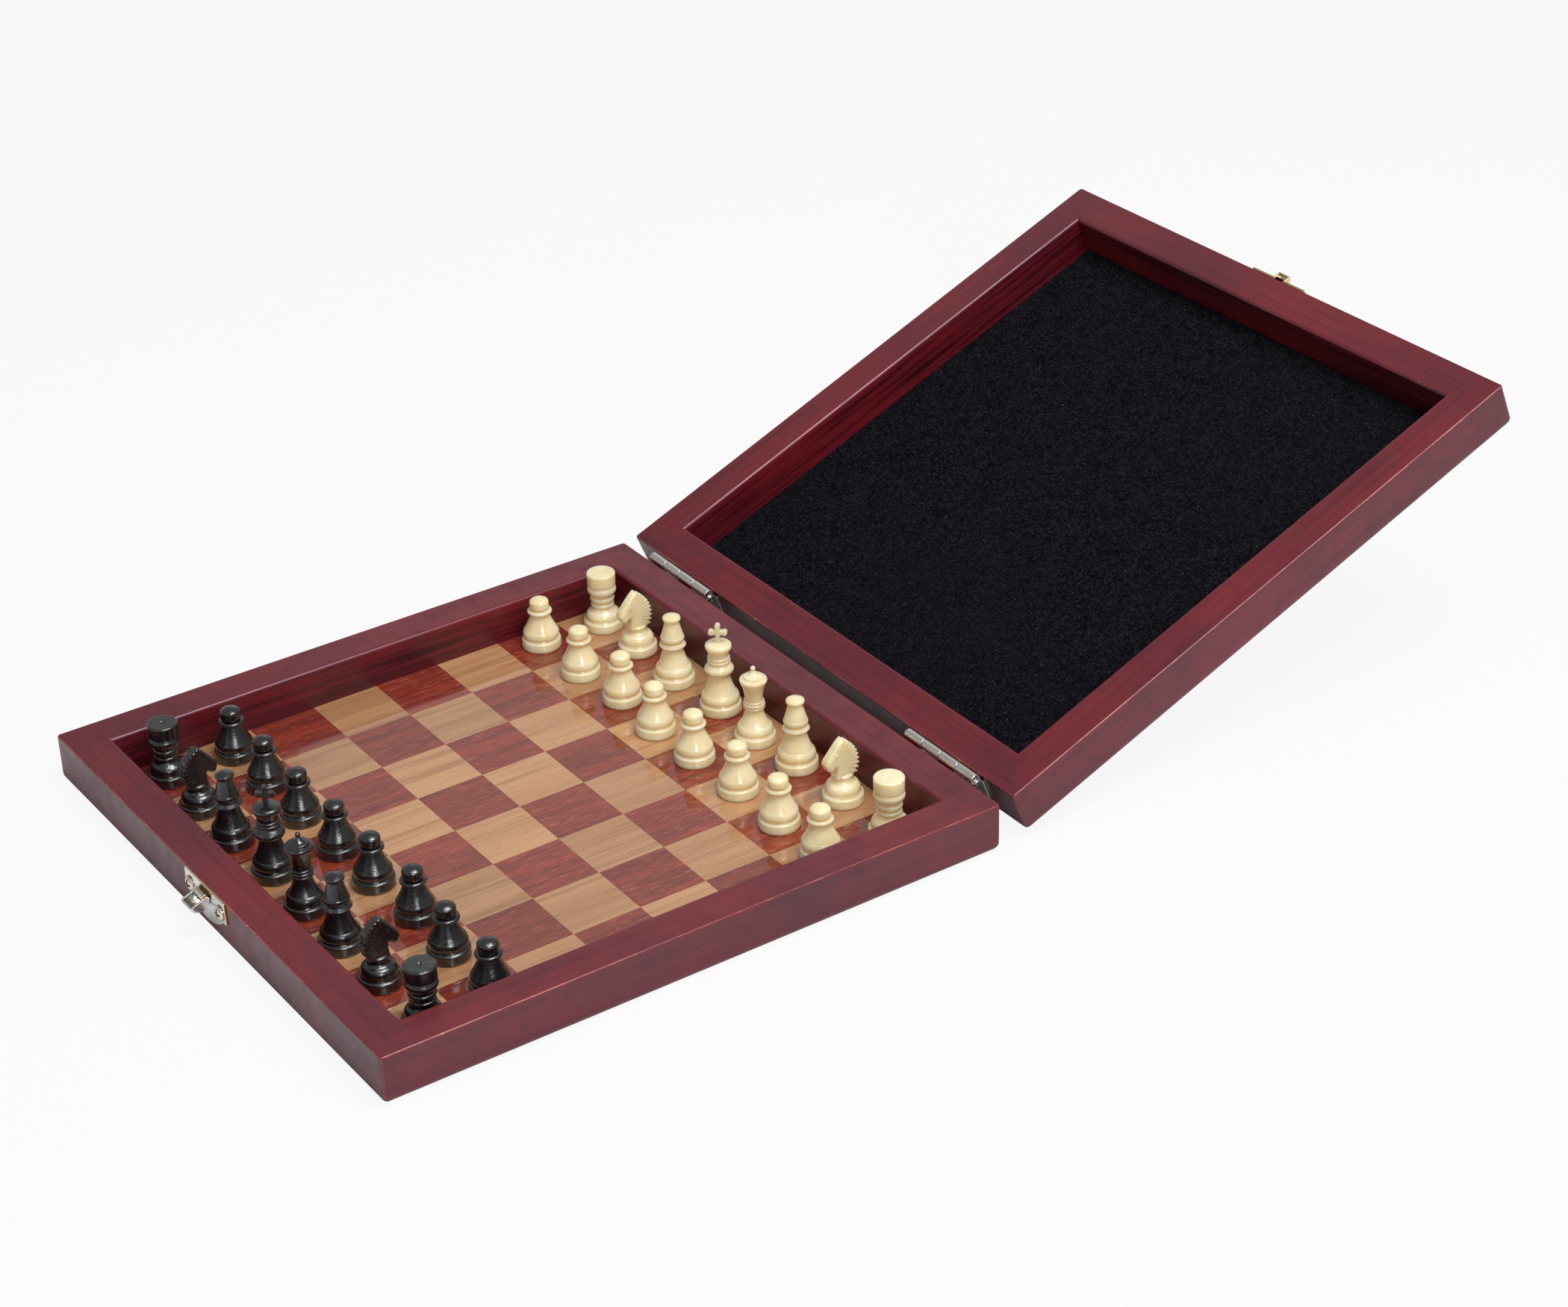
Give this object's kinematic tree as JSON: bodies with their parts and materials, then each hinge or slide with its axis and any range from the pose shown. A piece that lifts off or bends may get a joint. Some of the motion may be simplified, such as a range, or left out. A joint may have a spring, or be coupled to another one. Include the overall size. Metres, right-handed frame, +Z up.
{
  "type": "chess box with hinged lid",
  "caption": "Shallow square wooden chess box: the tray is the board, the felt-lined lid swings on butt hinges, a nickel catch closes it, and loose turned men stand on the squares.",
  "frame": {"origin": "middle of the box's underside", "axes": "+Z up, +Y from the catch side to the hinge side, +X to the right of someone facing the hinges"},
  "size_m": [0.2014, 0.404, 0.0928],
  "materials": {
    "lacquered_rails": "dark mahogany satin lacquer with worn edges",
    "lacquered_panels": "dark mahogany lacquer on thin board",
    "light_veneer": "tan veneer under gloss lacquer",
    "dark_veneer": "red-brown veneer under gloss lacquer",
    "felt": "black felt with a little lint",
    "nickel": "nickel plate",
    "white_plastic": "glossy cream plastic",
    "black_plastic": "semi-gloss black plastic"
  },
  "bodies": {
    "tray": {"base_front_rail": "lacquered_rails", "base_back_rail": "lacquered_rails", "base_left_rail": "lacquered_rails", "base_right_rail": "lacquered_rails", "base_bottom_panel": "lacquered_panels", "board_light_squares": "light_veneer", "board_dark_squares": "dark_veneer", "catch_plate": "nickel", "catch_screws": "nickel", "base_hinge_leaf_left": "nickel", "base_hinge_leaf_right": "nickel", "base_hinge_screws": "nickel", "hinge_pins": "nickel"},
    "lid": {"lid_front_rail": "lacquered_rails", "lid_back_rail": "lacquered_rails", "lid_left_rail": "lacquered_rails", "lid_right_rail": "lacquered_rails", "lid_top_panel": "lacquered_panels", "lid_felt": "felt", "keeper_plate": "nickel", "keeper_screws": "nickel", "lid_hinge_leaf_left": "nickel", "lid_hinge_leaf_right": "nickel", "lid_hinge_screws": "nickel"},
    "catch": {"catch_lever": "nickel", "catch_pin": "nickel"},
    "black_rook_1": {"black_rook_1": "black_plastic"},
    "black_knight_1": {"black_knight_1": "black_plastic"},
    "black_bishop_1": {"black_bishop_1": "black_plastic"},
    "black_king": {"black_king": "black_plastic"},
    "black_queen": {"black_queen": "black_plastic"},
    "black_bishop_2": {"black_bishop_2": "black_plastic"},
    "black_knight_2": {"black_knight_2": "black_plastic"},
    "black_rook_2": {"black_rook_2": "black_plastic"},
    "black_pawn_1": {"black_pawn_1": "black_plastic"},
    "black_pawn_2": {"black_pawn_2": "black_plastic"},
    "black_pawn_3": {"black_pawn_3": "black_plastic"},
    "black_pawn_4": {"black_pawn_4": "black_plastic"},
    "black_pawn_5": {"black_pawn_5": "black_plastic"},
    "black_pawn_6": {"black_pawn_6": "black_plastic"},
    "black_pawn_7": {"black_pawn_7": "black_plastic"},
    "black_pawn_8": {"black_pawn_8": "black_plastic"},
    "white_pawn_1": {"white_pawn_1": "white_plastic"},
    "white_pawn_2": {"white_pawn_2": "white_plastic"},
    "white_pawn_3": {"white_pawn_3": "white_plastic"},
    "white_pawn_4": {"white_pawn_4": "white_plastic"},
    "white_pawn_5": {"white_pawn_5": "white_plastic"},
    "white_pawn_6": {"white_pawn_6": "white_plastic"},
    "white_pawn_7": {"white_pawn_7": "white_plastic"},
    "white_pawn_8": {"white_pawn_8": "white_plastic"},
    "white_rook_1": {"white_rook_1": "white_plastic"},
    "white_knight_1": {"white_knight_1": "white_plastic"},
    "white_bishop_1": {"white_bishop_1": "white_plastic"},
    "white_king": {"white_king": "white_plastic"},
    "white_queen": {"white_queen": "white_plastic"},
    "white_bishop_2": {"white_bishop_2": "white_plastic"},
    "white_knight_2": {"white_knight_2": "white_plastic"},
    "white_rook_2": {"white_rook_2": "white_plastic"}
  },
  "joints": [
    {"name": "catch_swing", "type": "hinge", "parent": "tray", "child": "catch", "pos_m": [0, -0.10225, 0.0129], "axis": [1, 0, 0], "range_deg": [-98, 0]},
    {"name": "lid_hinge", "type": "hinge", "parent": "tray", "child": "lid", "pos_m": [0, 0.1029, 0.01555], "axis": [-1, 0, 0], "range_deg": [-158, 0]},
    {"name": "lift_black_rook_1", "type": "slide", "parent": "tray", "child": "black_rook_1", "axis": [0, 0, 1], "range_m": [0, 0.045]},
    {"name": "lift_black_knight_1", "type": "slide", "parent": "tray", "child": "black_knight_1", "axis": [0, 0, 1], "range_m": [0, 0.045]},
    {"name": "lift_black_bishop_1", "type": "slide", "parent": "tray", "child": "black_bishop_1", "axis": [0, 0, 1], "range_m": [0, 0.045]},
    {"name": "lay_black_king", "type": "hinge", "parent": "tray", "child": "black_king", "pos_m": [-0.01429, -0.06896, 0.0024], "axis": [-0.887, -0.4617, 0], "range_deg": [0, 58]},
    {"name": "lift_black_queen", "type": "slide", "parent": "tray", "child": "black_queen", "axis": [0, 0, 1], "range_m": [0, 0.045]},
    {"name": "lift_black_bishop_2", "type": "slide", "parent": "tray", "child": "black_bishop_2", "axis": [0, 0, 1], "range_m": [0, 0.045]},
    {"name": "lift_black_knight_2", "type": "slide", "parent": "tray", "child": "black_knight_2", "axis": [0, 0, 1], "range_m": [0, 0.045]},
    {"name": "lift_black_rook_2", "type": "slide", "parent": "tray", "child": "black_rook_2", "axis": [0, 0, 1], "range_m": [0, 0.045]},
    {"name": "lift_black_pawn_1", "type": "slide", "parent": "tray", "child": "black_pawn_1", "axis": [0, 0, 1], "range_m": [0, 0.045]},
    {"name": "lift_black_pawn_2", "type": "slide", "parent": "tray", "child": "black_pawn_2", "axis": [0, 0, 1], "range_m": [0, 0.045]},
    {"name": "lift_black_pawn_3", "type": "slide", "parent": "tray", "child": "black_pawn_3", "axis": [0, 0, 1], "range_m": [0, 0.045]},
    {"name": "lift_black_pawn_4", "type": "slide", "parent": "tray", "child": "black_pawn_4", "axis": [0, 0, 1], "range_m": [0, 0.045]},
    {"name": "lift_black_pawn_5", "type": "slide", "parent": "tray", "child": "black_pawn_5", "axis": [0, 0, 1], "range_m": [0, 0.045]},
    {"name": "lift_black_pawn_6", "type": "slide", "parent": "tray", "child": "black_pawn_6", "axis": [0, 0, 1], "range_m": [0, 0.045]},
    {"name": "lift_black_pawn_7", "type": "slide", "parent": "tray", "child": "black_pawn_7", "axis": [0, 0, 1], "range_m": [0, 0.045]},
    {"name": "lift_black_pawn_8", "type": "slide", "parent": "tray", "child": "black_pawn_8", "axis": [0, 0, 1], "range_m": [0, 0.045]},
    {"name": "lift_white_pawn_1", "type": "slide", "parent": "tray", "child": "white_pawn_1", "axis": [0, 0, 1], "range_m": [0, 0.045]},
    {"name": "lift_white_pawn_2", "type": "slide", "parent": "tray", "child": "white_pawn_2", "axis": [0, 0, 1], "range_m": [0, 0.045]},
    {"name": "lift_white_pawn_3", "type": "slide", "parent": "tray", "child": "white_pawn_3", "axis": [0, 0, 1], "range_m": [0, 0.045]},
    {"name": "lift_white_pawn_4", "type": "slide", "parent": "tray", "child": "white_pawn_4", "axis": [0, 0, 1], "range_m": [0, 0.045]},
    {"name": "lift_white_pawn_5", "type": "slide", "parent": "tray", "child": "white_pawn_5", "axis": [0, 0, 1], "range_m": [0, 0.045]},
    {"name": "lift_white_pawn_6", "type": "slide", "parent": "tray", "child": "white_pawn_6", "axis": [0, 0, 1], "range_m": [0, 0.045]},
    {"name": "lift_white_pawn_7", "type": "slide", "parent": "tray", "child": "white_pawn_7", "axis": [0, 0, 1], "range_m": [0, 0.045]},
    {"name": "lift_white_pawn_8", "type": "slide", "parent": "tray", "child": "white_pawn_8", "axis": [0, 0, 1], "range_m": [0, 0.045]},
    {"name": "lift_white_rook_1", "type": "slide", "parent": "tray", "child": "white_rook_1", "axis": [0, 0, 1], "range_m": [0, 0.045]},
    {"name": "lift_white_knight_1", "type": "slide", "parent": "tray", "child": "white_knight_1", "axis": [0, 0, 1], "range_m": [0, 0.045]},
    {"name": "lift_white_bishop_1", "type": "slide", "parent": "tray", "child": "white_bishop_1", "axis": [0, 0, 1], "range_m": [0, 0.045]},
    {"name": "lay_white_king", "type": "hinge", "parent": "tray", "child": "white_king", "pos_m": [-0.01377, 0.0724, 0.0024], "axis": [0.8813, -0.4726, 0], "range_deg": [0, 58]},
    {"name": "lift_white_queen", "type": "slide", "parent": "tray", "child": "white_queen", "axis": [0, 0, 1], "range_m": [0, 0.045]},
    {"name": "lift_white_bishop_2", "type": "slide", "parent": "tray", "child": "white_bishop_2", "axis": [0, 0, 1], "range_m": [0, 0.045]},
    {"name": "lift_white_knight_2", "type": "slide", "parent": "tray", "child": "white_knight_2", "axis": [0, 0, 1], "range_m": [0, 0.045]},
    {"name": "lift_white_rook_2", "type": "slide", "parent": "tray", "child": "white_rook_2", "axis": [0, 0, 1], "range_m": [0, 0.045]}
  ],
  "couplings": [
    {"joint": "lay_black_king", "follows": "lid_hinge", "ratio": -0.36709},
    {"joint": "lay_white_king", "follows": "lid_hinge", "ratio": -0.36709}
  ]
}
